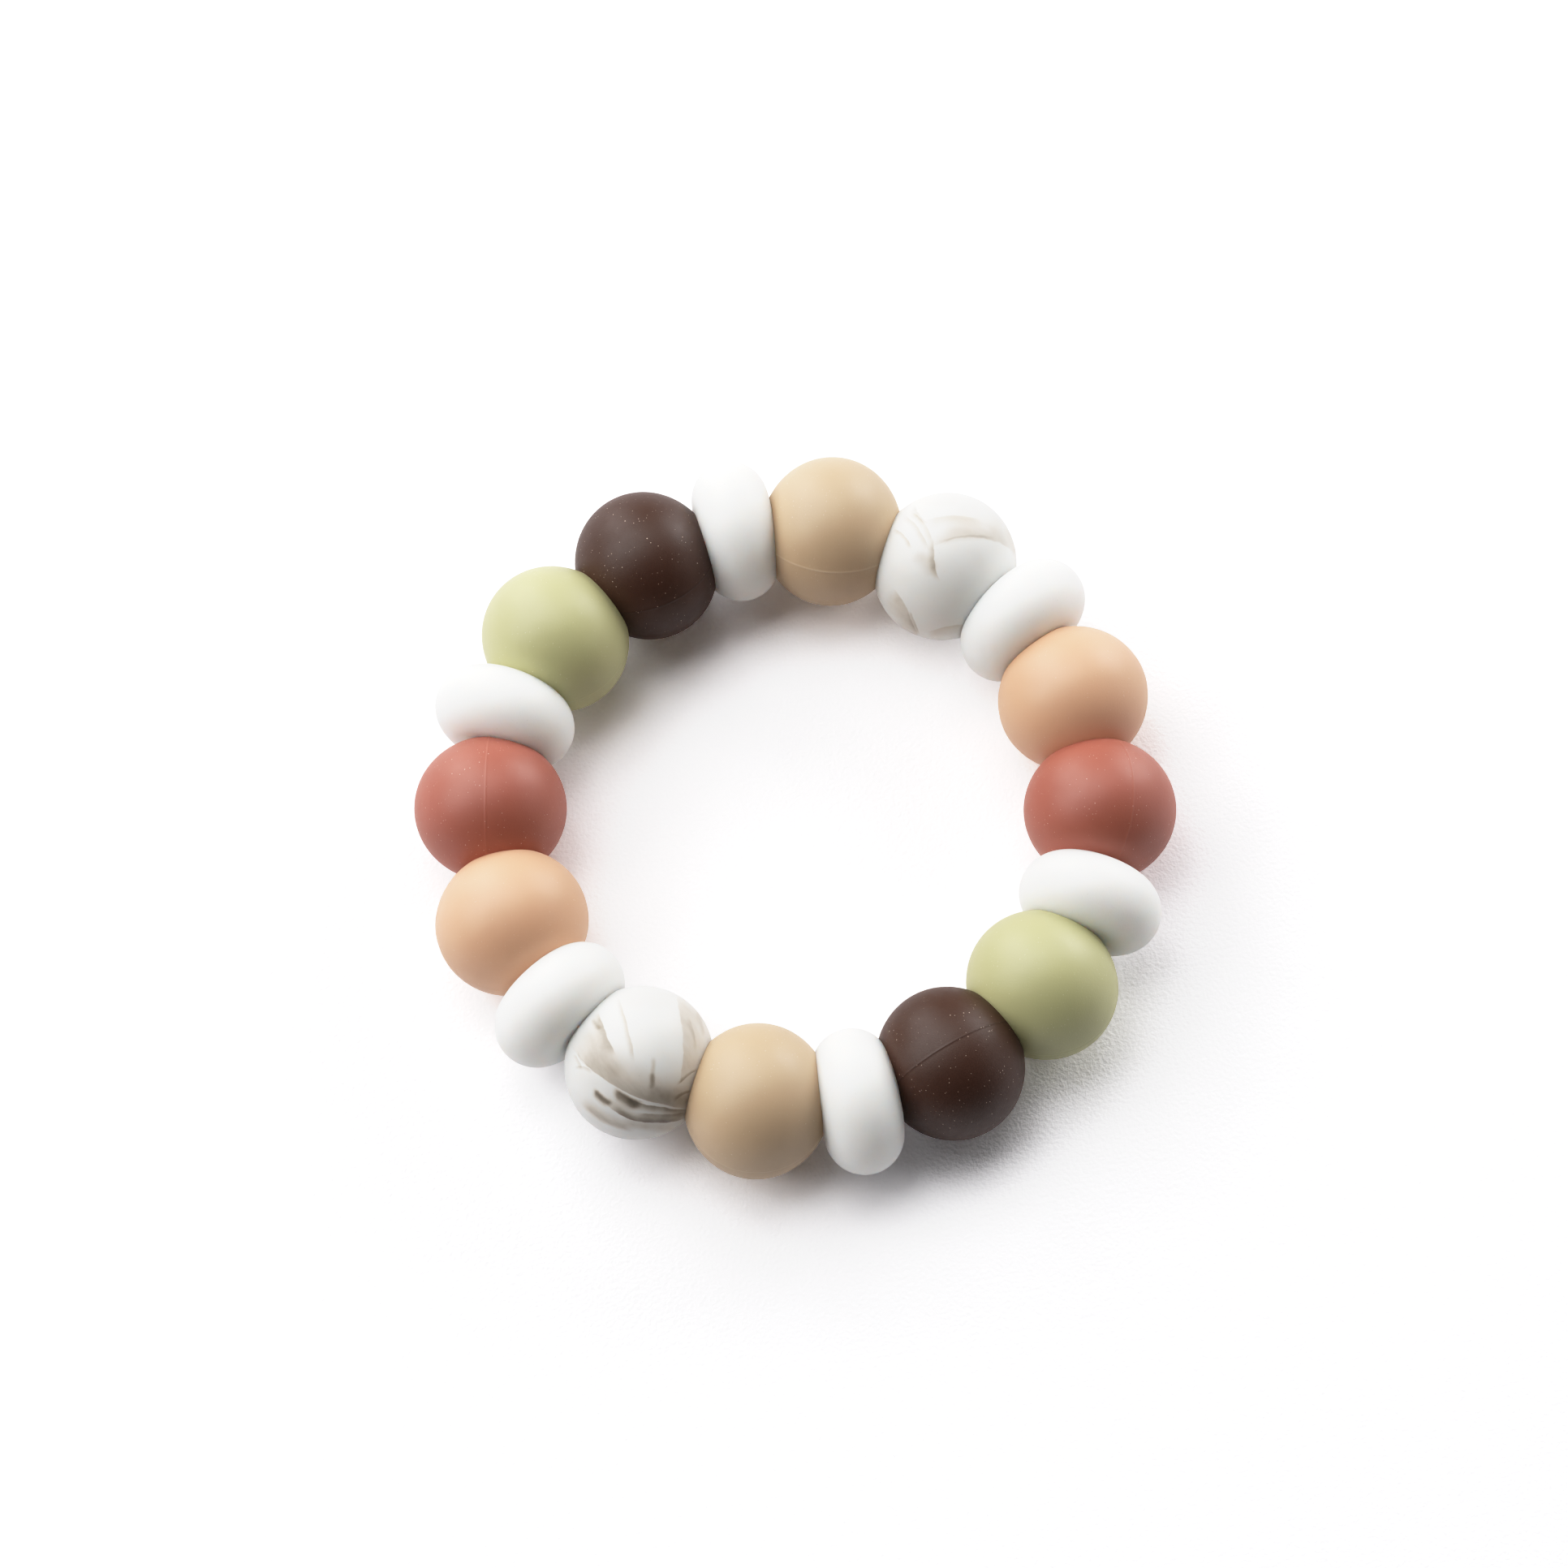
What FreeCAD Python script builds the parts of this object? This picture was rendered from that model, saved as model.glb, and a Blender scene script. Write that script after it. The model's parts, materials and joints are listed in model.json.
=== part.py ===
"""Bead teething ring: twelve round and six disc silicone beads threaded on a knotted cord.

Millimetres, +Z up. The ring lies flat on the floor plane z = 0 and the origin is the
floor point under its centre. Angles run counterclockwise seen from above, from +X.
The ring folds about the X axis line through two opposite bead-to-bead junctions, so the
beads and the cord come in a back half (+Y) and a front half (-Y), alike half a turn apart.
"""

import FreeCAD, Part
import math
import os

# Beads. Free length is along the bore, unsqueezed; pitch is the length a bead keeps on
# the tight cord, from junction to junction.
ROUND_DIAMETER = 15.0
ROUND_FREE_LENGTH = 14.2
ROUND_PITCH = 12.25
DISC_DIAMETER = 14.2
DISC_FREE_LENGTH = 8.3
DISC_PITCH = 7.35
DISC_FACE_CROWN = 0.35
BORE_DIAMETER = 2.6

# Bead kinds of one half, counterclockwise from the fold axis.
HALF_ORDER = ("peach", "disc", "marble", "sand", "disc", "cocoa", "sage", "disc", "clay")
HALVES = ("back", "front")
HALF_TURN = 180.0

# Clearance that bead ends keep from each junction plane, and the largest fold.
JUNCTION_CLEARANCE = 0.05
FOLD_LIMIT = 20.0
FOLD_SPARE = 0.5

# Cord, its knot, and the stretched chamber in the bead that hides the knot.
CORD_DIAMETER = 1.2
CORD_END_CLEARANCE = 0.2
KNOT_DIAMETER = 3.4
CHAMBER_DIAMETER = 4.6
KNOT_HALF = "back"
KNOT_BEAD = "cocoa"

CLOSING_TOLERANCE = 1e-9
X_AXIS = FreeCAD.Vector(1, 0, 0)
Z_AXIS = FreeCAD.Vector(0, 0, 1)
ORIGIN = FreeCAD.Vector(0, 0, 0)
RING_HEIGHT = ROUND_DIAMETER / 2


def pitch_of(kind):
    return DISC_PITCH if kind == "disc" else ROUND_PITCH


def half_angle(pitch, junction_radius):
    """Half of the angle, in degrees, that a bead takes up round the ring."""
    return math.degrees(math.asin(pitch / 2 / junction_radius))


def chord_radius(pitch, junction_radius):
    """Distance from the ring's centre to the middle of a bead's bore."""
    return math.sqrt(junction_radius**2 - (pitch / 2) ** 2)


def closing_radius():
    """Radius of the circle through all junctions on which the string of beads closes."""
    low = ROUND_PITCH
    high = len(HALF_ORDER) * ROUND_PITCH
    while high - low > CLOSING_TOLERANCE:
        middle = (low + high) / 2
        turned = sum(2 * half_angle(pitch_of(kind), middle) for kind in HALF_ORDER)
        if turned > HALF_TURN:
            low = middle
        else:
            high = middle
    return middle


def fold_end_angle(flat_half_angle):
    """Half of the angle between two bores that meet at a fold junction at full fold."""
    flat = math.radians(2 * flat_half_angle)
    fold = math.radians(FOLD_LIMIT)
    tilt = math.acos(math.cos(flat) * math.cos(fold))
    return math.degrees(tilt) / 2 + FOLD_SPARE


def revolved(edges):
    """Solid of revolution about X from a closed outline in the XY plane, y being radius."""
    face = Part.Face(Part.Wire(edges))
    return face.revolve(ORIGIN, X_AXIS, 360)


def line(x0, y0, x1, y1):
    return Part.makeLine(FreeCAD.Vector(x0, y0, 0), FreeCAD.Vector(x1, y1, 0))


def arc(start, middle, end):
    points = [FreeCAD.Vector(x, y, 0) for x, y in (start, middle, end)]
    return Part.Arc(*points).toShape()


def free_round():
    """An unsqueezed round bead: an ellipsoid a little shorter along its bore."""
    length = ROUND_FREE_LENGTH / 2
    radius = ROUND_DIAMETER / 2
    rim = FreeCAD.Vector(0, radius, 0)
    pole = FreeCAD.Vector(length, 0, 0)
    ellipse = Part.Ellipse(rim, pole, ORIGIN)
    # the ellipse's own angle runs from the rim point, so the poles are a quarter turn away
    outline = Part.Edge(ellipse, -math.pi / 2, math.pi / 2)
    return revolved([outline, line(length, 0, -length, 0)])


def free_disc():
    """An unsqueezed disc bead: slightly crowned faces and a full-round rim."""
    half = DISC_FREE_LENGTH / 2
    rim_radius = half - DISC_FACE_CROWN
    rim_centre = DISC_DIAMETER / 2 - rim_radius
    shoulder = (rim_radius, rim_centre)
    # the crown is an arc through the pole and both shoulders
    rise = DISC_FACE_CROWN
    crown_radius = (rim_centre**2 + rise**2) / (2 * rise)
    between = math.sqrt(crown_radius**2 - (rim_centre / 2) ** 2) - crown_radius + half
    outline = [
        line(-half, 0, half, 0),
        arc((half, 0), (between, rim_centre / 2), shoulder),
        arc(shoulder, (0, DISC_DIAMETER / 2), (-shoulder[0], shoulder[1])),
        arc((-shoulder[0], shoulder[1]), (-between, rim_centre / 2), (-half, 0)),
    ]
    return revolved(outline)


def end_limit(pitch, start_angle, end_angle):
    """Double cone that holds a bead of this pitch clear of both junctions at any spin."""
    reach = ROUND_DIAMETER
    tip = pitch / 2 - JUNCTION_CLEARANCE
    start_edge = -tip + reach * math.tan(math.radians(start_angle))
    end_edge = tip - reach * math.tan(math.radians(end_angle))
    outline = [
        line(-tip, 0, tip, 0),
        line(tip, 0, end_edge, reach),
        line(end_edge, reach, start_edge, reach),
        line(start_edge, reach, -tip, 0),
    ]
    return revolved(outline)


def bore(has_chamber):
    """The hole's own shape along X, with a round chamber in the middle if it has one."""
    reach = ROUND_DIAMETER
    radius = BORE_DIAMETER / 2
    if not has_chamber:
        start = FreeCAD.Vector(-reach, 0, 0)
        return Part.makeCylinder(radius, 2 * reach, start, X_AXIS)
    chamber = CHAMBER_DIAMETER / 2
    mouth = math.sqrt(chamber**2 - radius**2)
    outline = [
        line(-reach, 0, reach, 0),
        line(reach, 0, reach, radius),
        line(reach, radius, mouth, radius),
        arc((mouth, radius), (0, chamber), (-mouth, radius)),
        line(-mouth, radius, -reach, radius),
        line(-reach, radius, -reach, 0),
    ]
    return revolved(outline)


def knot_ball():
    radius = KNOT_DIAMETER / 2
    outline = [line(-radius, 0, radius, 0), arc((radius, 0), (0, radius), (-radius, 0))]
    return revolved(outline)


def bead(kind, start_angle, end_angle, holds_knot):
    """One strung bead, bore along X, centred on the origin."""
    free = free_disc() if kind == "disc" else free_round()
    strung = free.common(end_limit(pitch_of(kind), start_angle, end_angle))
    return strung.cut(bore(holds_knot))


def placed(shape, radius, angle):
    """Put a shape that is centred on the origin at a place round the ring, X along it."""
    moved = shape.copy()
    moved.rotate(ORIGIN, Z_AXIS, angle + 90)
    turn = math.radians(angle)
    where = FreeCAD.Vector(radius * math.cos(turn), radius * math.sin(turn), RING_HEIGHT)
    moved.translate(where)
    return moved


def export(shape, node):
    if len(shape.Solids) != 1 or not shape.isValid():
        raise ValueError(node + " is not one valid solid")
    shape.Solids[0].exportStep("parts/" + node + ".step")


def make_beads(junction_radius):
    """Export every bead and return the ring angle of the bead that hides the knot."""
    knot_angle = 0.0
    for half_index, half in enumerate(HALVES):
        angle = half_index * HALF_TURN
        disc_number = 0
        for kind in HALF_ORDER:
            pitch = pitch_of(kind)
            own_half_angle = half_angle(pitch, junction_radius)
            first = kind == HALF_ORDER[0]
            last = kind == HALF_ORDER[-1]
            fold_angle = fold_end_angle(own_half_angle)
            start_angle = fold_angle if first else own_half_angle
            end_angle = fold_angle if last else own_half_angle
            holds_knot = half == KNOT_HALF and kind == KNOT_BEAD
            centre_angle = angle + own_half_angle
            centre_radius = chord_radius(pitch, junction_radius)
            if holds_knot:
                knot_angle = centre_angle
            node = "bead_" + half + "_" + kind
            if kind == "disc":
                disc_number += 1
                node += "_" + str(disc_number)
            shape = bead(kind, start_angle, end_angle, holds_knot)
            export(placed(shape, centre_radius, centre_angle), node)
            angle += 2 * own_half_angle
    return knot_angle


def make_cord(junction_radius, knot_angle):
    """Export the cord as two half loops that part at the fold axis, one with the knot."""
    cord_radius = (junction_radius + chord_radius(ROUND_PITCH, junction_radius)) / 2
    end_angle = math.degrees(CORD_END_CLEARANCE / cord_radius)
    for half_index, half in enumerate(HALVES):
        sweep = HALF_TURN - 2 * end_angle
        loop = Part.makeTorus(cord_radius, CORD_DIAMETER / 2, ORIGIN, Z_AXIS, 0, 360, sweep)
        loop.rotate(ORIGIN, Z_AXIS, half_index * HALF_TURN + end_angle)
        loop.translate(FreeCAD.Vector(0, 0, RING_HEIGHT))
        if half == KNOT_HALF:
            loop = loop.fuse(placed(knot_ball(), cord_radius, knot_angle))
        export(loop, "cord_" + half)


os.makedirs("parts", exist_ok=True)
ring_radius = closing_radius()
make_cord(ring_radius, make_beads(ring_radius))
print("junction circle radius", round(ring_radius, 4))
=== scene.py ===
"""Looks of a bead teething ring: twelve round and six disc silicone beads on a knotted cord.

Each bead is built about its own bore, then placed on its own spin joint's body. Lengths
are in metres and angles in degrees, unless a name says otherwise.
"""

from collections import namedtuple
import json
import math

import bpy
import numpy as np
from mathutils import Matrix, Vector


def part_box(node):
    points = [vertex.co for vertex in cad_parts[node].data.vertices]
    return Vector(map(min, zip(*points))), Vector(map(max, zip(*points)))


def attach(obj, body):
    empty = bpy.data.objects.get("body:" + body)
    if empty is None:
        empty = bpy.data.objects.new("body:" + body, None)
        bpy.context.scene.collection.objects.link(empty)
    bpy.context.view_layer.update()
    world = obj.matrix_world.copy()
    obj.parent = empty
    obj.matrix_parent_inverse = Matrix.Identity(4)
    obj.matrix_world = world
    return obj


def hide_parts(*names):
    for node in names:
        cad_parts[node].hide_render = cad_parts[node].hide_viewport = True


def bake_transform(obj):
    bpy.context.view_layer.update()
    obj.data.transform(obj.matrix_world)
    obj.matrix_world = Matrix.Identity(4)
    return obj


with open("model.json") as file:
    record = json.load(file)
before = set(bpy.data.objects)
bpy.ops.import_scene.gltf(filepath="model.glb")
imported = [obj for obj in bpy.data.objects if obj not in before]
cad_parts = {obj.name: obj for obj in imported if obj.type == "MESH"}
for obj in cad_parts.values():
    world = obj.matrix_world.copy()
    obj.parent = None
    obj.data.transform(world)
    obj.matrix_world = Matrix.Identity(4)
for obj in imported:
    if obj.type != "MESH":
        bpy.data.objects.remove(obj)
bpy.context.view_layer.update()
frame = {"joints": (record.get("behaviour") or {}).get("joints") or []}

MM = 0.001

# Beads: free lengths are along the bore, and the diameters come from the frame.
ROUND_FREE_LENGTH = 14.2 * MM
DISC_FREE_LENGTH = 8.3 * MM
DISC_FACE_CROWN = 0.35 * MM
BORE_RADIUS = 1.3 * MM
BORE_LIP = 0.35 * MM
CHAMBER_RADIUS = 2.3 * MM
KNOT_BEAD = "bead_back_cocoa"
OUTLINE_STEPS = 72
LIP_STEPS = 6
BORE_STEPS = 12
TURN_STEP = 2.5

# The moulding line is a low ridge in a plane that holds the bore. Its roll is counted
# round the bore, from the ring's outward direction towards the top.
PARTING_HEIGHT = 0.03 * MM
PARTING_WIDTH = 0.09 * MM
PARTING_TURNS = (0.35, 0.7, 1.1, 1.6, 2.3, 3.3, 4.7)
PARTING_ROLL = {
    "bead_back_sand": 146,
    "bead_back_cocoa": 146,
    "bead_back_clay": 90,
    "bead_front_clay": 68,
    "bead_front_cocoa": 90,
    "bead_back_peach": 12,
    "bead_back_marble": 8,
    "bead_back_sage": 170,
    "bead_front_peach": 4,
    "bead_front_marble": 172,
    "bead_front_sand": 10,
    "bead_front_sage": 6,
}

# Silicone skin: a fine grain over slow waves, mottled a little. Red light scatters furthest.
GRAIN_SIZE = 0.16 * MM
GRAIN_DEPTH = 0.010 * MM
WAVE_SIZE = 3.0 * MM
WAVE_DEPTH = 0.03 * MM
MOTTLE_SIZE = 4.0 * MM
MOTTLE_DEPTH = 0.03
SILICONE_ROUGHNESS = (0.44, 0.58)
ROUGHNESS_SIZE = 0.96 * MM
SCATTER_REACH = (1.0, 0.85, 0.75)
SHEEN_ROUGHNESS = 0.5

# Lint: strewn specks, more of them small than large, that gather in patches. A speck is
# solid over its core and fades out from there to its edge.
LINT_SPACING = 0.42 * MM
LINT_RADIUS = (0.025 * MM, 0.08 * MM)
LINT_SMALLNESS = 1.5
LINT_CORE = 0.4
LINT_PATCH_SIZE = 5.0 * MM
LINT_PATCH_EDGE = (0.3, 0.55)

# Cord: three strands twisted into a closed loop, with streaks along each strand.
STRANDS = 3
CORD_TWISTS = 38
CORD_STATIONS = 12 * CORD_TWISTS
CORD_SIDES = 10
FIBRES_ACROSS = 3
FIBRE_LENGTH = 2.0 * MM
FIBRE_SIZE = 0.3
FIBRE_DEPTH = 0.01 * MM
FOLD_REACH = 2.0 * MM

# Knot: a coil round the cord. Each end tucks in towards the cord over a share of its length.
KNOT_TURNS = 2.0
KNOT_PITCH = 1.0 * MM
KNOT_STRAND_RADIUS = 0.5 * MM
KNOT_STEPS = 64
KNOT_TUCK = 0.18
STEEP_START = 0.9

# Camera: a long lens, high in front, a little left of the fold line's middle.
CAMERA_AZIMUTH = -11.4
CAMERA_ELEVATION = 70.0
CAMERA_DISTANCE = 0.42
CAMERA_LENS_MM = 98
CAMERA_SENSOR_MM = 36
CAMERA_CLIP_START = 0.01
RING_OFFSET_RIGHT = 1.1 * MM
RING_OFFSET_DOWN = 2.5 * MM


# ---------------------------------------------------------------- outlines

def arc_points(centre, radius, start, end, steps):
    """Points on an arc, angles counted from +X, both ends included."""
    turns = np.radians(np.linspace(start, end, steps + 1))
    return [
        (centre[0] + radius * math.cos(t), centre[1] + radius * math.sin(t)) for t in turns
    ]


def round_outline(radius):
    """(x, r) points of a round bead's outside, from the equator to the mouth."""
    half = ROUND_FREE_LENGTH / 2
    turns = np.radians(np.linspace(0, 90, OUTLINE_STEPS + 1))
    return [(half * math.sin(t), radius * math.cos(t)) for t in turns]


def disc_outline(radius):
    """(x, r) points of a disc bead's outside: a full-round rim and crowned faces."""
    half = DISC_FREE_LENGTH / 2
    rim_radius = half - DISC_FACE_CROWN
    rim_centre = radius - rim_radius
    rim = arc_points((0, rim_centre), rim_radius, 90, 0, OUTLINE_STEPS // 2)
    face_radii = np.linspace(rim_centre, 0, OUTLINE_STEPS // 3 + 1)[1:]
    face = [
        (rim_radius + DISC_FACE_CROWN * (1 - (r / rim_centre) ** 2), r) for r in face_radii
    ]
    return rim + face


def half_outline(outer):
    """Half of a bead's closed outline: outside, rounded mouth, then the bore's wall."""
    edge = BORE_RADIUS + BORE_LIP
    outside = [p for p in outer if p[1] > edge]
    face_x = np.interp(edge, [p[1] for p in outer[::-1]], [p[0] for p in outer[::-1]])
    lip = arc_points((face_x - BORE_LIP, edge), BORE_LIP, 0, -90, LIP_STEPS)
    mouth_x = face_x - BORE_LIP
    wall = [(x, BORE_RADIUS) for x in np.linspace(mouth_x, 0, BORE_STEPS + 1)[1:]]
    return outside + lip + wall


def with_chamber(outline):
    """Widen the bore's wall to a round chamber about the bead's middle."""
    widened = []
    for x, r in outline:
        if r <= BORE_RADIUS and abs(x) < CHAMBER_RADIUS:
            r = max(r, math.sqrt(CHAMBER_RADIUS**2 - x**2))
        widened.append((x, r))
    return widened


# ---------------------------------------------------------------- bead meshes

def turn_angles(has_parting):
    """Angles round the bore, closer together at both sides of the moulding line."""
    angles = set(np.arange(0, 360, TURN_STEP))
    if has_parting:
        near = PARTING_TURNS[-1]
        angles = {a for a in angles if min(a % 180, 180 - a % 180) > near}
        for side in (0, 180):
            angles.add(side)
            angles.update((side + a) % 360 for a in PARTING_TURNS)
            angles.update((side - a) % 360 for a in PARTING_TURNS)
    return np.radians(sorted(angles))


def revolve(name, outline, has_parting):
    """A closed bead mesh about X. Its moulding line lies in the local XZ plane."""
    half = np.array(outline)
    far = half[::-1][1:-1] * (-1, 1)
    loop = np.vstack((half, far))
    turns = turn_angles(has_parting)
    x = np.repeat(loop[:, 0], len(turns))
    r = np.repeat(loop[:, 1], len(turns))
    turn = np.tile(turns, len(loop))
    ridge = np.zeros_like(r)
    if has_parting:
        from_plane = r * np.sin(turn)
        outside = np.repeat(loop[:, 1] > BORE_RADIUS + BORE_LIP, len(turns))
        ridge = np.exp(-((from_plane / PARTING_WIDTH) ** 2)) * outside
        r = r + PARTING_HEIGHT * ridge
    verts = np.column_stack((x, r * np.sin(turn), r * np.cos(turn)))
    rows, columns = len(loop), len(turns)
    faces = []
    for i in range(rows):
        for k in range(columns):
            a = i * columns + k
            b = i * columns + (k + 1) % columns
            c = (i + 1) % rows * columns + (k + 1) % columns
            d = (i + 1) % rows * columns + k
            faces.append((a, b, c, d))
    mesh = bpy.data.meshes.new(name)
    mesh.from_pydata(verts.tolist(), [], faces)
    line = mesh.attributes.new("parting", "FLOAT", "POINT")
    line.data.foreach_set("value", ridge.astype(np.float32))
    mesh.polygons.foreach_set("use_smooth", [True] * len(mesh.polygons))
    mesh.update()
    return mesh


def bead_matrix(joint, roll):
    """Place: X along the bore, Z at the given roll from outward towards the top."""
    centre = Vector(joint["pos_m"])
    along = Vector(joint["axis"]).normalized()
    outward = Vector((centre.x, centre.y, 0)).normalized()
    up = Vector((0, 0, 1))
    turn = math.radians(roll)
    z = outward * math.cos(turn) + up * math.sin(turn)
    y = z.cross(along)
    rotation = Matrix((along, y, z)).transposed().to_4x4()
    return Matrix.Translation(centre) @ rotation


def bead_kind(node):
    """sand, disc and so on, from a node's name such as bead_back_disc_2."""
    return node.split("_")[2]


def make_bead(joint):
    """The bead on a spin joint, in the place of its CAD solid."""
    node = joint["child"]
    kind = bead_kind(node)
    low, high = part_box(node)
    radius = (high.z - low.z) / 2
    is_disc = kind == "disc"
    outline = half_outline(disc_outline(radius) if is_disc else round_outline(radius))
    if node == KNOT_BEAD:
        outline = with_chamber(outline)
    piece_name = node.replace("bead_", "silicone_")
    mesh = revolve(piece_name, outline, not is_disc)
    mesh.transform(bead_matrix(joint, PARTING_ROLL.get(node, 0)))
    piece = bpy.data.objects.new(piece_name, mesh)
    bpy.context.scene.collection.objects.link(piece)
    mesh.materials.append(bead_material(joint, kind, radius))
    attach(piece, node)
    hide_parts(node)


# ---------------------------------------------------------------- shader helpers

def srgb(red, green, blue):
    """Linear colour of an sRGB one given as 0 to 255."""
    out = []
    for value in (red, green, blue):
        v = value / 255
        out.append(v / 12.92 if v <= 0.04045 else ((v + 0.055) / 1.055) ** 2.4)
    return (*out, 1)


class Graph:
    """A new material, with short calls that add shader nodes and join them up."""

    def __init__(self, name):
        self.material = bpy.data.materials.new(name)
        self.material.use_nodes = True
        self.tree = self.material.node_tree
        self.shader = self.tree.nodes["Principled BSDF"]

    def put(self, socket, value):
        if isinstance(value, bpy.types.NodeSocket):
            self.tree.links.new(value, socket)
        elif socket.type == "VECTOR":
            socket.default_value = value[:3]
        else:
            socket.default_value = value

    def add(self, kind, inputs, output=0, **settings):
        """Add a node, fill its inputs with values or other outputs, return one output."""
        node = self.tree.nodes.new(kind)
        for key, value in settings.items():
            setattr(node, key, value)
        for key, value in inputs.items():
            self.put(node.inputs[key], value)
        return node.outputs[output]

    def finish(self, **inputs):
        """Fill the shader's inputs, named with _ for each space."""
        for key, value in inputs.items():
            self.put(self.shader.inputs[key.replace("_", " ")], value)
        return self.material

    def place(self):
        """The point being shaded, in the ring's frame at rest."""
        return self.add("ShaderNodeTexCoord", {}, "Object")

    def math(self, operation, a, b=0.0):
        return self.add("ShaderNodeMath", {0: a, 1: b}, operation=operation)

    def vector(self, operation, a, b, output="Vector"):
        return self.add("ShaderNodeVectorMath", {0: a, 1: b}, output, operation=operation)

    def noise(self, where, size, detail=2.0, output="Fac"):
        """Noise about 0.5, with lumps about size across."""
        inputs = {"Vector": where, "Scale": 1 / size, "Detail": detail}
        return self.add("ShaderNodeTexNoise", inputs, output)

    def fade(self, value, zero, one):
        """0 where value is at zero or beyond, 1 at one or beyond, smooth between."""
        inputs = {"Value": value, "From Min": zero, "From Max": one}
        return self.add("ShaderNodeMapRange", inputs, interpolation_type="SMOOTHSTEP")

    def span(self, value, low, high):
        """Map 0 to 1 onto low to high."""
        return self.add("ShaderNodeMapRange", {"Value": value, "To Min": low, "To Max": high})

    def mix(self, share, a, b):
        """Mix of two colours."""
        inputs = {0: share, 6: a, 7: b}
        return self.add("ShaderNodeMix", inputs, 2, data_type="RGBA")

    def bump(self, height, depth, normal=None):
        """Normal for a height of 0 to 1 that stands for a real depth."""
        inputs = {"Height": height, "Distance": depth, "Strength": 1.0}
        if normal is not None:
            inputs["Normal"] = normal
        return self.add("ShaderNodeBump", inputs)


# ---------------------------------------------------------------- silicone

# Line is the moulding line and lint the strewn specks, each with its colour and strength.
# Softness is how much of the light scatters inside, and depth how far it goes there.
Look = namedtuple("Look", "base line line_share lint lint_share softness depth gloss sheen")
WHITE = srgb(234, 234, 231)
MARBLE_WHITE = srgb(224, 224, 221)
SHALLOW = 1.0 * MM
LOOKS = {
    "sand": Look(
        srgb(194, 169, 139), srgb(216, 198, 174), 0.4, srgb(240, 232, 220), 0.45,
        softness=0.15, depth=SHALLOW, gloss=0.65, sheen=0.1,
    ),
    "peach": Look(
        srgb(215, 171, 140), srgb(228, 195, 168), 0.2, srgb(246, 230, 215), 0.35,
        softness=0.15, depth=SHALLOW, gloss=0.65, sheen=0.1,
    ),
    "clay": Look(
        srgb(163, 95, 78), srgb(186, 122, 105), 0.12, srgb(232, 200, 186), 0.7,
        softness=0.1, depth=SHALLOW, gloss=0.7, sheen=0.1,
    ),
    "sage": Look(
        srgb(184, 182, 137), srgb(200, 198, 157), 0.2, srgb(238, 236, 214), 0.4,
        softness=0.15, depth=SHALLOW, gloss=0.65, sheen=0.1,
    ),
    "cocoa": Look(
        srgb(70, 44, 32), srgb(24, 14, 11), 0.22, srgb(215, 192, 174), 0.9,
        softness=0.05, depth=SHALLOW, gloss=0.5, sheen=0.0,
    ),
    "disc": Look(
        WHITE, WHITE, 0.0, srgb(150, 146, 140), 0.2,
        softness=1.0, depth=4.0 * MM, gloss=0.5, sheen=0.0,
    ),
    "marble": Look(
        MARBLE_WHITE, MARBLE_WHITE, 0.2, srgb(160, 154, 148), 0.2,
        softness=0.9, depth=2.5 * MM, gloss=0.5, sheen=0.0,
    ),
}


def lint_specks(graph, where):
    """1 on strewn specks of unlike sizes that gather in patches, 0 elsewhere."""
    inputs = {"Vector": where, "Scale": 1 / LINT_SPACING}
    from_lint = graph.add("ShaderNodeTexVoronoi", inputs, "Distance")
    own_size = graph.add("ShaderNodeTexVoronoi", inputs, "Color")
    patch = graph.fade(graph.noise(where, LINT_PATCH_SIZE, detail=1.0), *LINT_PATCH_EDGE)
    smallest, largest = (radius / LINT_SPACING for radius in LINT_RADIUS)
    size = graph.math("MULTIPLY", graph.math("POWER", own_size, LINT_SMALLNESS), patch)
    edge = graph.span(size, smallest, largest)
    return graph.fade(from_lint, edge, graph.math("MULTIPLY", edge, LINT_CORE))


def silicone(graph, where, colour, kind):
    """Moulded matte silicone: slight mottling, moulding line, lint, and a fine skin."""
    look = LOOKS[kind]
    mottle = graph.noise(where, MOTTLE_SIZE, detail=3.0)
    shade = graph.span(mottle, 1 - MOTTLE_DEPTH, 1 + MOTTLE_DEPTH)
    colour = graph.vector("MULTIPLY", colour, shade)
    line = graph.add("ShaderNodeAttribute", {}, "Fac", attribute_name="parting")
    colour = graph.mix(graph.math("MULTIPLY", line, look.line_share), colour, look.line)
    lint = lint_specks(graph, where)
    colour = graph.mix(graph.math("MULTIPLY", lint, look.lint_share), colour, look.lint)
    waves = graph.bump(graph.noise(where, WAVE_SIZE, detail=1.0), WAVE_DEPTH)
    normal = graph.bump(graph.noise(where, GRAIN_SIZE), GRAIN_DEPTH, waves)
    roughness = graph.span(graph.noise(where, ROUGHNESS_SIZE), *SILICONE_ROUGHNESS)
    return graph.finish(
        Base_Color=colour,
        Roughness=roughness,
        Specular_IOR_Level=look.gloss,
        Normal=normal,
        Subsurface_Weight=look.softness,
        Subsurface_Radius=SCATTER_REACH,
        Subsurface_Scale=look.depth,
        Sheen_Weight=look.sheen,
        Sheen_Roughness=SHEEN_ROUGHNESS,
        Sheen_Tint=look.lint,
    )


# ---------------------------------------------------------------- marbled silicone

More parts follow.
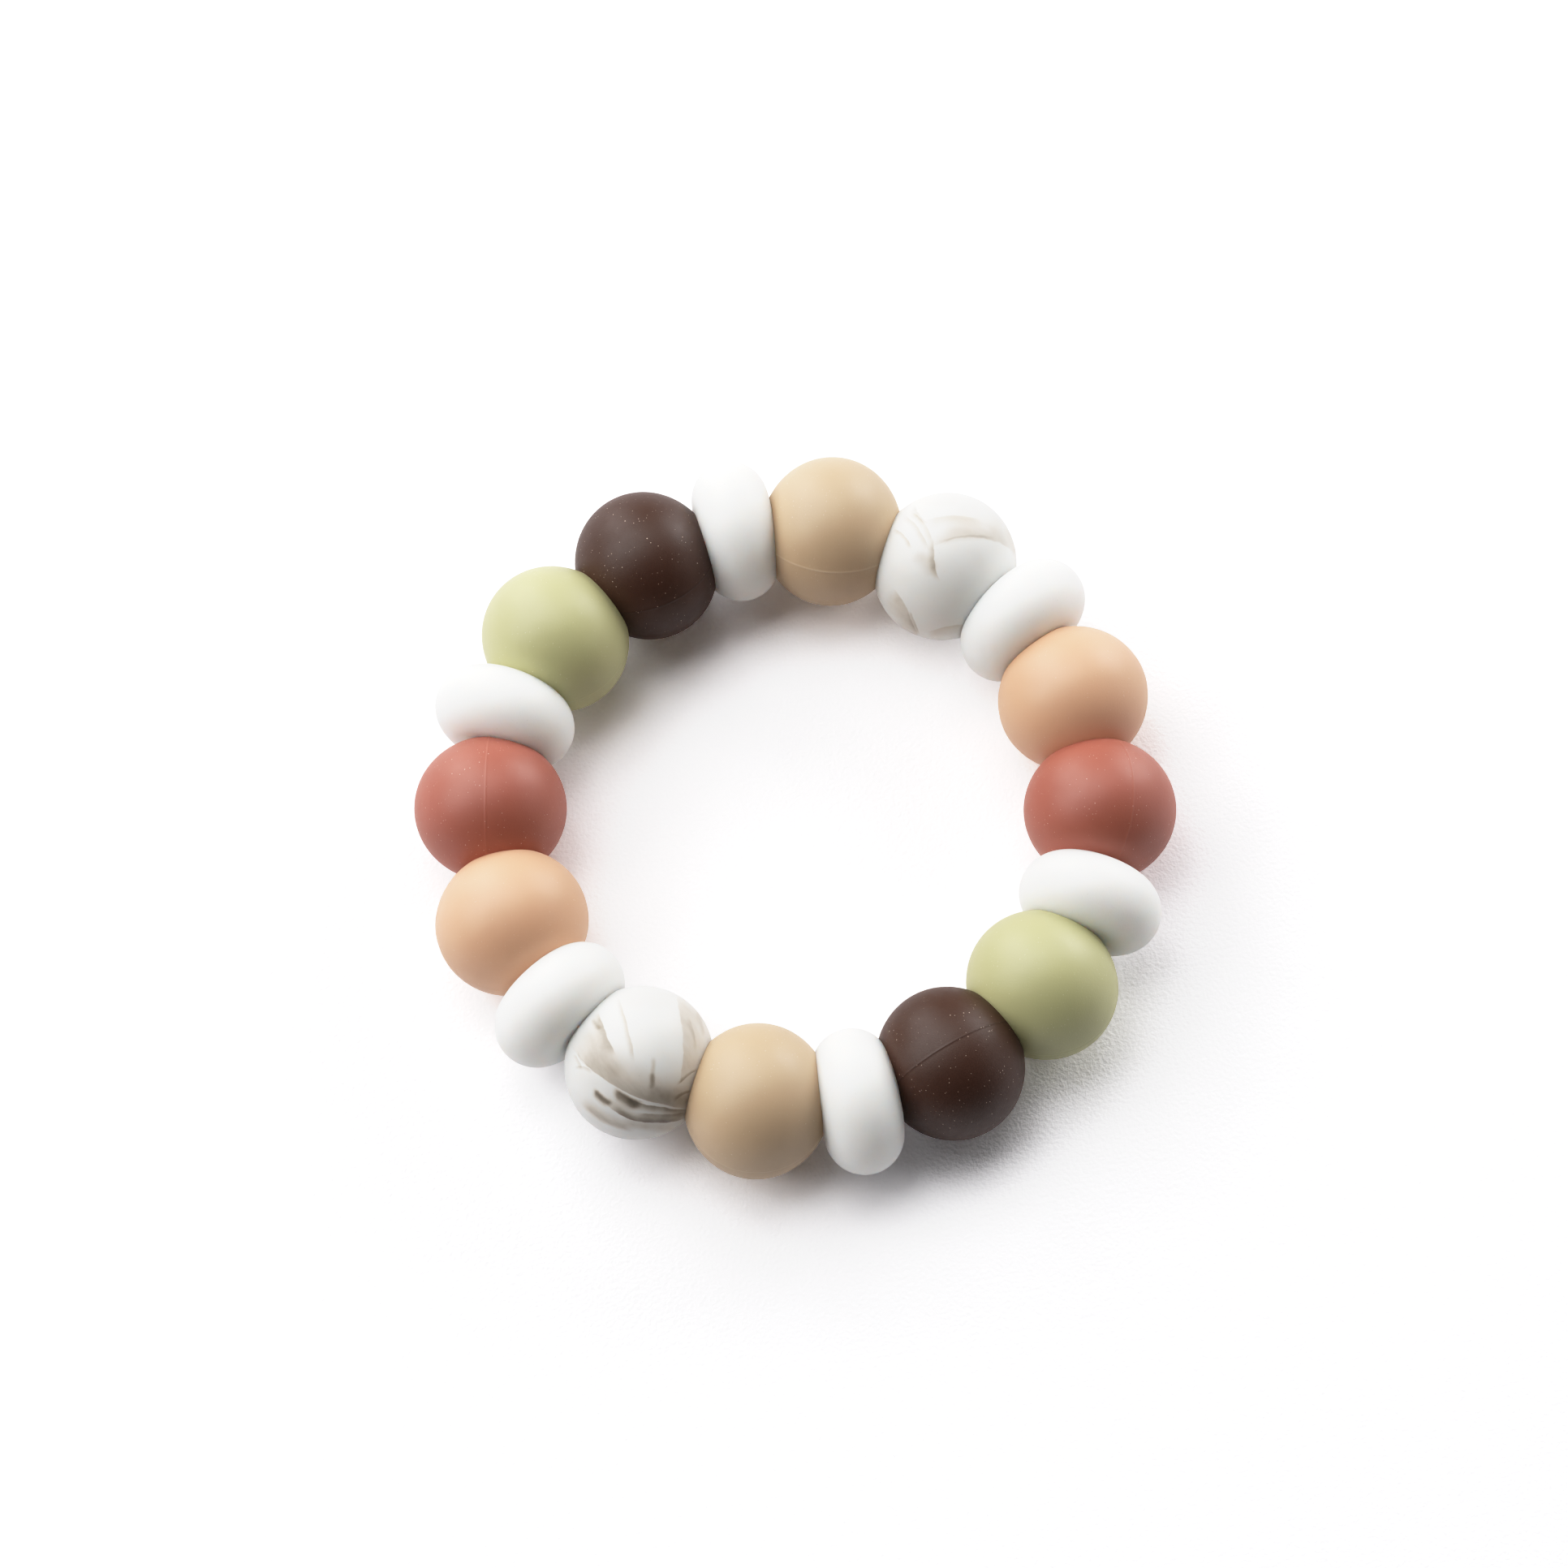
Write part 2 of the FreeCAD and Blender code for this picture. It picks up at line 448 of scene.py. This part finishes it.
# A swirl is an arc across the bead's face, in bead radii right of and above its middle:
# start, end, bulge to the left of the way from start to end, how far its pigment reaches
# to the left and to the right of that arc, and how strong it is.
SWIRLS = {
    "bead_back_marble": (
        ((-0.41, 0.82), (-0.24, 0.53), -0.05, 0.015, 0.10, 0.26),
        ((-0.30, 0.55), (0.50, 0.56), 0.07, 0.02, 0.16, 0.22),
        ((-0.24, 0.20), (1.00, 0.14), 0.19, 0.26, 0.03, 0.30),
        ((-0.15, 0.27), (0.62, 0.36), 0.04, 0.02, 0.08, 0.20),
        ((-0.18, 0.32), (-0.10, -0.24), -0.04, 0.012, 0.10, 0.40),
        ((-0.70, 0.48), (-0.47, 0.20), 0.03, 0.012, 0.06, 0.30),
        ((-0.56, 0.68), (-0.24, 0.18), 0.03, 0.012, 0.09, 0.28),
        ((-0.48, 0.72), (-0.18, 0.24), 0.05, 0.012, 0.10, 0.24),
        ((-0.44, 0.14), (-0.16, -0.16), 0.04, 0.16, 0.16, 0.22),
        ((-0.72, -0.32), (-0.37, -0.96), 0.03, 0.015, 0.30, 0.34),
        ((-0.50, -0.62), (-0.36, -0.92), 0.02, 0.012, 0.08, 0.36),
        ((-0.26, -0.91), (0.28, -0.82), 0.02, 0.02, 0.12, 0.28),
        ((0.80, 0.52), (0.96, 0.10), 0.02, 0.02, 0.08, 0.18),
        ((-0.10, 0.50), (0.90, 0.46), 0.06, 0.30, 0.26, 0.13),
    ),
    "bead_front_marble": (
        ((-0.50, 0.70), (-0.26, 0.16), -0.02, 0.015, 0.16, 0.50),
        ((-0.57, 0.60), (-0.46, 0.46), -0.01, 0.05, 0.06, 0.34),
        ((-0.24, 0.88), (-0.03, 0.07), 0.02, 0.015, 0.07, 0.34),
        ((0.21, 0.14), (0.19, -0.26), 0.01, 0.05, 0.05, 0.30),
        ((0.20, -0.06), (0.18, -0.28), 0.01, 0.06, 0.06, 0.30),
        ((0.48, 0.92), (0.53, -0.26), 0.08, 0.46, 0.02, 0.33),
        ((0.72, 0.68), (0.84, 0.36), 0.02, 0.02, 0.05, 0.22),
        ((0.62, 0.62), (0.74, 0.20), 0.02, 0.02, 0.05, 0.20),
        ((-0.88, 0.26), (0.74, -0.56), -0.16, 0.50, 0.015, 0.46),
        ((-0.57, -0.29), (-0.29, -0.47), -0.02, 0.06, 0.10, 0.85),
        ((-0.29, -0.27), (0.08, -0.47), -0.02, 0.06, 0.16, 0.85),
        ((-0.18, -0.36), (0.70, -0.57), -0.05, 0.015, 0.12, 0.60),
        ((-0.42, -0.43), (0.70, -0.64), -0.18, 0.15, 0.015, 0.72),
        ((0.00, -0.58), (0.66, -0.60), -0.04, 0.02, 0.06, 0.40),
        ((-0.74, -0.46), (-0.02, -0.84), -0.05, 0.16, 0.06, 0.42),
        ((-0.20, -0.66), (0.56, -0.80), -0.06, 0.12, 0.10, 0.30),
        ((-0.82, 0.14), (-0.70, -0.04), 0.02, 0.015, 0.05, 0.28),
        ((-0.80, -0.02), (-0.56, -0.05), 0.03, 0.015, 0.05, 0.28),
        ((-0.78, 0.20), (-0.56, -0.02), -0.04, 0.03, 0.015, 0.20),
        ((0.50, -0.24), (0.78, -0.04), 0.03, 0.04, 0.015, 0.46),
        ((0.46, -0.44), (0.70, -0.31), 0.03, 0.04, 0.015, 0.42),
        ((0.10, -0.30), (0.76, -0.44), -0.02, 0.22, 0.20, 0.28),
        ((-0.66, 0.50), (-0.16, -0.12), -0.03, 0.20, 0.20, 0.24),
    ),
}
PIGMENT_STOPS = (
    (0.0, MARBLE_WHITE),
    (0.3, srgb(206, 200, 191)),
    (0.6, srgb(162, 152, 139)),
    (1.0, srgb(94, 84, 73)),
)

# A slow warp bends the swirls and a fine one frays them. Each swirl runs a little past its
# ends and tapers towards them. All of these sizes are in bead radii or shares.
SWIRL_WARP = 0.06
SWIRL_WARP_SIZE = 0.5
SWIRL_FRAY = 0.025
SWIRL_FRAY_SIZE = 0.1
SWIRL_OVERRUN = 0.05
SWIRL_TAPER = 0.45

# Streaks along the swirls thin the pigment out and gather it, and a faint cloud tints the
# white between.
SWIRL_PATCHINESS = (0.6, 1.35)
SWIRL_STREAK_SIZE = 0.12
SWIRL_STREAK_STRETCH = 5
SWIRL_STREAK_TURN = {"bead_back_marble": 5, "bead_front_marble": -50}
CLOUD_SIZE = 0.7
CLOUD_EDGE = (0.45, 0.75)
CLOUD_CLEARNESS = 0.93


def swirl_pigment(graph, face, start, end, bulge, left_width, right_width, strength):
    """Pigment of one swirl at a point of the bead's face."""
    start, end = Vector((*start, 0)), Vector((*end, 0))
    middle, half = (start + end) / 2, (end - start).length / 2
    along = (end - start).normalized()
    left = Vector((-along.y, along.x, 0))
    radius = (half**2 + bulge**2) / (2 * abs(bulge))
    side = math.copysign(1, bulge)
    centre = middle + left * (bulge - side * radius)
    from_centre = graph.vector("DISTANCE", face, centre, "Value")
    to_left = graph.math("MULTIPLY", graph.math("SUBTRACT", from_centre, radius), side)
    left_side = graph.fade(to_left, left_width, 0)
    right_side = graph.fade(to_left, -right_width, 0)
    across = graph.math("MULTIPLY", left_side, right_side)
    from_middle = graph.vector("DISTANCE", face, middle, "Value")
    outer, inner = half * (1 + SWIRL_OVERRUN), half * (1 - SWIRL_TAPER)
    reach = graph.fade(from_middle, outer, inner)
    return graph.math("MULTIPLY", graph.math("MULTIPLY", across, reach), strength)


def marble_colour(graph, where, node, centre, radius):
    """White silicone with swirls of taupe pigment that run through the bead."""
    inputs = {
        "Vector": where,
        "Location": centre,
        "Rotation": view_rotation().to_euler(),
        "Scale": (radius, radius, radius),
    }
    own = graph.add("ShaderNodeMapping", inputs, vector_type="TEXTURE")
    warp = graph.noise(own, SWIRL_WARP_SIZE, detail=1.0, output="Color")
    fray = graph.noise(own, SWIRL_FRAY_SIZE, output="Color")
    bent = own
    for noise, amount in ((warp, SWIRL_WARP), (fray, SWIRL_FRAY)):
        offset = graph.vector("SUBTRACT", noise, (0.5, 0.5, 0.5))
        offset = graph.vector("MULTIPLY", offset, (amount, amount, 0))
        bent = graph.vector("ADD", bent, offset)
    face = graph.vector("MULTIPLY", bent, (1, 1, 0))
    turn = (0, 0, math.radians(SWIRL_STREAK_TURN[node]))
    inputs = {"Vector": bent, "Rotation": turn, "Scale": (SWIRL_STREAK_STRETCH, 1, 1)}
    streaked = graph.add("ShaderNodeMapping", inputs, vector_type="TEXTURE")
    streaks = graph.noise(streaked, SWIRL_STREAK_SIZE, detail=3.0)
    patches = graph.span(streaks, *SWIRL_PATCHINESS)
    clear = 1.0
    for swirl in SWIRLS[node]:
        pigment = graph.math("MULTIPLY", swirl_pigment(graph, face, *swirl), patches)
        clear = graph.math("MULTIPLY", clear, graph.math("SUBTRACT", 1.0, pigment))
    cloud = graph.fade(graph.noise(bent, CLOUD_SIZE), *CLOUD_EDGE)
    clear = graph.math("MULTIPLY", clear, graph.span(cloud, 1.0, CLOUD_CLEARNESS))
    return pigment_ramp(graph, graph.math("SUBTRACT", 1.0, clear))


def pigment_ramp(graph, pigment):
    """White for no pigment, and ever darker taupe for more of it."""
    node = graph.tree.nodes.new("ShaderNodeValToRGB")
    graph.put(node.inputs["Fac"], pigment)
    stops = node.color_ramp.elements
    while len(stops) < len(PIGMENT_STOPS):
        stops.new(0.5)
    for stop, (position, colour) in zip(stops, PIGMENT_STOPS):
        stop.position = position
        stop.color = colour
    return node.outputs["Color"]


def bead_material(joint, kind, radius):
    """Each bead has a material of its own, since marbling depends on the bead's place."""
    node = joint["child"]
    graph = Graph(node.replace("bead_", "silicone_"))
    where = graph.place()
    colour = LOOKS[kind].base
    if kind == "marble":
        colour = marble_colour(graph, where, node, joint["pos_m"], radius)
    return silicone(graph, where, colour, kind)


# ---------------------------------------------------------------- cord

def frames_along(path, closed):
    """Unit tangents, and side directions that don't twist, at each point of a path.

    A closed path runs level enough for its sides to be taken from the vertical. An open
    one carries its first side along: the vertical, or X where its start is steep.
    """
    ahead, behind = np.roll(path, -1, axis=0), np.roll(path, 1, axis=0)
    if not closed:
        ahead[-1], behind[0] = path[-1], path[0]
    tangents = ahead - behind
    tangents /= np.linalg.norm(tangents, axis=1)[:, None]
    vertical = np.array((0.0, 0.0, 1.0))
    is_steep = abs(tangents[0][2]) >= STEEP_START
    side = np.array((1.0, 0.0, 0.0)) if is_steep else vertical
    sides = []
    for tangent in tangents:
        if closed:
            side = vertical
        side = side - tangent * np.dot(side, tangent)
        side = side / np.linalg.norm(side)
        sides.append(side)
    return tangents, np.array(sides)


class Tubes:
    """Closed round tubes, all in one mesh, with a fibre attribute that runs along them."""

    def __init__(self):
        self.verts = []
        self.faces = []
        self.fibre = []

    def add(self, path, radius, closed):
        path = np.array(path)
        tangents, sides = frames_along(path, closed)
        ups = np.cross(tangents, sides)
        first = len(self.verts)
        turns = np.radians(np.arange(0, 360, 360 / CORD_SIDES))
        length = 0.0
        for i, point in enumerate(path):
            length += np.linalg.norm(point - path[i - 1]) if i else 0.0
            for turn in turns:
                away = sides[i] * math.cos(turn) + ups[i] * math.sin(turn)
                self.verts.append(tuple(point + away * radius))
                across = (FIBRES_ACROSS * math.cos(turn), FIBRES_ACROSS * math.sin(turn))
                self.fibre.append((*across, length / FIBRE_LENGTH))
        rings = len(path) if closed else len(path) - 1
        for i in range(rings):
            here = first + i * CORD_SIDES
            there = first + (i + 1) % len(path) * CORD_SIDES
            for k in range(CORD_SIDES):
                m = (k + 1) % CORD_SIDES
                self.faces.append((here + k, there + k, there + m, here + m))
        if not closed:
            last = first + rings * CORD_SIDES
            self.faces.append(tuple(first + k for k in range(CORD_SIDES)))
            self.faces.append(tuple(last + k for k in reversed(range(CORD_SIDES))))

    def mesh(self, name):
        mesh = bpy.data.meshes.new(name)
        mesh.from_pydata(self.verts, [], self.faces)
        fibre = mesh.attributes.new("fibre", "FLOAT_VECTOR", "POINT")
        fibre.data.foreach_set("vector", np.array(self.fibre, np.float32).ravel())
        mesh.polygons.foreach_set("use_smooth", [True] * len(mesh.polygons))
        mesh.validate()
        return mesh


def make_cord(ring_centre, knot_joint):
    """A three-strand twisted loop, with a coiled knot in the knot bead's chamber."""
    low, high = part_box("cord_front")
    cord_radius = (high.z - low.z) / 2
    loop_radius = (high.x - low.x) / 2 - cord_radius
    strand_radius = cord_radius / (1 + 1 / math.sin(math.pi / STRANDS))
    strand_offset = cord_radius - strand_radius
    tubes = Tubes()
    turns = np.radians(np.arange(0, 360, 360 / CORD_STATIONS))
    for strand in range(STRANDS):
        twist = turns * CORD_TWISTS + math.tau * strand / STRANDS
        reach = loop_radius + strand_offset * np.cos(twist)
        height = ring_centre.z + strand_offset * np.sin(twist)
        path = np.column_stack((reach * np.cos(turns), reach * np.sin(turns), height))
        tubes.add(path, strand_radius, closed=True)
    place = bead_matrix(knot_joint, 0)
    steps = np.linspace(0, 1, KNOT_STEPS + 1)
    coil = []
    for step in steps:
        turn = math.tau * KNOT_TURNS * step
        rise = min(1.0, step / KNOT_TUCK, (1 - step) / KNOT_TUCK)
        reach = (cord_radius + KNOT_STRAND_RADIUS) * math.sin(rise * math.pi / 2)
        along = KNOT_PITCH * KNOT_TURNS * (step - 0.5)
        spot = Vector((along, reach * math.cos(turn), reach * math.sin(turn)))
        coil.append(place @ spot)
    tubes.add(coil, KNOT_STRAND_RADIUS, closed=False)
    mesh = tubes.mesh("cord")
    mesh.materials.append(nylon())
    cord = bpy.data.objects.new("cord", mesh)
    bpy.context.scene.collection.objects.link(cord)
    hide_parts("cord_back", "cord_front")
    reach = Vector((0, FOLD_REACH, 0))
    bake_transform(cord)


NYLON_TONES = (srgb(214, 209, 198), srgb(244, 241, 234))
NYLON_ROUGHNESS = (0.35, 0.5)
NYLON_SHEEN = 0.3


def nylon():
    """Twisted nylon: fine filaments along each strand, and a satin sheen."""
    graph = Graph("nylon")
    fibre = graph.add("ShaderNodeAttribute", {}, "Vector", attribute_name="fibre")
    streaks = graph.noise(fibre, FIBRE_SIZE)
    return graph.finish(
        Base_Color=graph.mix(streaks, *NYLON_TONES),
        Roughness=graph.span(streaks, *NYLON_ROUGHNESS),
        Normal=graph.bump(streaks, FIBRE_DEPTH),
        Sheen_Weight=NYLON_SHEEN,
    )


# ---------------------------------------------------------------- camera and stage

def view_rotation():
    """The camera's right, up and back directions, as the columns of a matrix."""
    azimuth = math.radians(CAMERA_AZIMUTH)
    elevation = math.radians(CAMERA_ELEVATION)
    back = Vector((
        math.sin(azimuth) * math.cos(elevation),
        -math.cos(azimuth) * math.cos(elevation),
        math.sin(elevation),
    ))
    right = Vector((math.cos(azimuth), math.sin(azimuth), 0))
    return Matrix((right, back.cross(right), back)).transposed()


def make_camera(ring_centre):
    """The camera aims a little to the left of the ring's centre and above it."""
    right, up, back = view_rotation().transposed()
    target = ring_centre - right * RING_OFFSET_RIGHT + up * RING_OFFSET_DOWN
    data = bpy.data.cameras.new("camera")
    data.lens = CAMERA_LENS_MM
    data.sensor_width = CAMERA_SENSOR_MM
    data.clip_start = CAMERA_CLIP_START
    camera = bpy.data.objects.new("camera", data)
    place = Matrix.Translation(target + back * CAMERA_DISTANCE)
    camera.matrix_world = place @ view_rotation().to_4x4()
    bpy.context.scene.collection.objects.link(camera)
    bpy.context.scene.camera = camera


PAPER_GRAIN = 0.4 * MM
PAPER_DEPTH = 0.08 * MM
PAPER_TONES = ((0.925, 0.915, 0.94, 1), (0.99, 0.98, 1.0, 1))
PAPER_ROUGHNESS = (0.85, 1.0)
PAPER_GLOSS = 0.2
PAPER_BLEACH = 1.5
BACKDROP_COLOUR = (1, 1, 1, 1)
BACKDROP_STRENGTH = 1.7
BACKDROP_START = 0.12
BACKDROP_END = 0.40
FLOOR_HALF_WIDTH = 3.0


def paper():
    """White paper, bleached to the camera only, that turns to plain white far away."""
    graph = Graph("paper")
    where = graph.place()
    grain = graph.noise(where, PAPER_GRAIN, detail=3.0)
    seen = graph.add("ShaderNodeLightPath", {}, "Is Camera Ray")
    colour = graph.mix(grain, *PAPER_TONES)
    colour = graph.vector("MULTIPLY", colour, graph.span(seen, 1.0, PAPER_BLEACH))
    distance = graph.vector("LENGTH", where, (0, 0, 0), "Value")
    far = graph.math("MULTIPLY", seen, graph.fade(distance, BACKDROP_START, BACKDROP_END))
    return graph.finish(
        Base_Color=colour,
        Roughness=graph.span(grain, *PAPER_ROUGHNESS),
        Normal=graph.bump(grain, PAPER_DEPTH),
        Specular_IOR_Level=PAPER_GLOSS,
        Emission_Color=BACKDROP_COLOUR,
        Emission_Strength=graph.math("MULTIPLY", far, BACKDROP_STRENGTH),
    )


def make_floor():
    """A sheet that reaches past the picture on all sides."""
    mesh = bpy.data.meshes.new("floor")
    size = FLOOR_HALF_WIDTH
    corners = [(-size, -size, 0), (size, -size, 0), (size, size, 0), (-size, size, 0)]
    mesh.from_pydata(corners, [], [(0, 1, 2, 3)])
    floor = bpy.data.objects.new("floor", mesh)
    bpy.context.scene.collection.objects.link(floor)
    mesh.materials.append(paper())


# Lights are round soft boxes of one width, all at one distance. Each has its azimuth from
# the camera's up direction on the floor, clockwise seen from above, its elevation, and its
# power in watts.
LIGHT_DISTANCE = 0.8
LIGHT_WIDTH = 0.50
LIGHTS = {
    "top_left": (-60, 65, 2.0),
    "top_back": (0, 65, 1.6),
    "left_back": (-45, 42, 1.4),
    "left": (-90, 38, 3.0),
    "back_left": (-38, 20, 2.7),
    "back_right": (43, 20, 4.3),
    "right": (90, 20, 0.8),
}
WORLD_COLOUR = (0.92, 0.88, 1.0, 1)
WORLD_STRENGTH = 0.01


def make_light(name, azimuth, elevation, power):
    """A round soft box that faces the origin."""
    data = bpy.data.lights.new(name, "AREA")
    data.shape = "DISK"
    data.size = LIGHT_WIDTH
    data.energy = power
    light = bpy.data.objects.new(name, data)
    turn = math.radians(CAMERA_AZIMUTH - azimuth)
    rise = math.radians(elevation)
    away = Vector((
        -math.sin(turn) * math.cos(rise),
        math.cos(turn) * math.cos(rise),
        math.sin(rise),
    ))
    light.location = away * LIGHT_DISTANCE
    light.rotation_euler = away.to_track_quat("Z", "Y").to_euler()
    bpy.context.scene.collection.objects.link(light)


def make_world():
    """A faint fill that the camera sees as a plain white backdrop."""
    world = bpy.data.worlds.new("studio")
    world.use_nodes = True
    tree = world.node_tree
    background = tree.nodes["Background"]
    background.inputs["Color"].default_value = WORLD_COLOUR
    path = tree.nodes.new("ShaderNodeLightPath")
    strength = tree.nodes.new("ShaderNodeMapRange")
    strength.inputs["To Min"].default_value = WORLD_STRENGTH
    strength.inputs["To Max"].default_value = BACKDROP_STRENGTH
    tree.links.new(path.outputs["Is Camera Ray"], strength.inputs["Value"])
    tree.links.new(strength.outputs["Result"], background.inputs["Strength"])
    bpy.context.scene.world = world


# The picture is developed like a photo, with deeper shadows and highlights that roll off
# before they burn out: light in, light out.
DEVELOPING_LIMIT = 2.0
DEVELOPING_CURVE = (
    (0.02, 0.012),
    (0.05, 0.035),
    (0.1, 0.08),
    (0.2, 0.175),
    (0.35, 0.335),
    (0.55, 0.55),
    (0.8, 0.76),
    (1.0, 0.875),
    (1.15, 0.915),
    (1.3, 0.95),
    (1.5, 1.0),
)


def develop():
    """Put the developing curve on the picture's combined channel."""
    view = bpy.context.scene.view_settings
    view.view_transform = "Standard"
    view.use_curve_mapping = True
    mapping = view.curve_mapping
    mapping.clip_max_x = DEVELOPING_LIMIT
    combined = mapping.curves[3]
    points = combined.points
    points[1].location = DEVELOPING_CURVE[-1]
    for spot in DEVELOPING_CURVE[:-1]:
        points.new(*spot)
    for point in points:
        point.handle_type = "AUTO_CLAMPED"
    mapping.update()


fold_joint = frame["joints"][0]
ring_centre = Vector(fold_joint["pos_m"])
for joint in frame["joints"][1:]:
    make_bead(joint)
    if joint["child"] == KNOT_BEAD:
        make_cord(ring_centre, joint)

make_floor()
make_world()
for name, settings in LIGHTS.items():
    make_light(name, *settings)
make_camera(ring_centre)
develop()
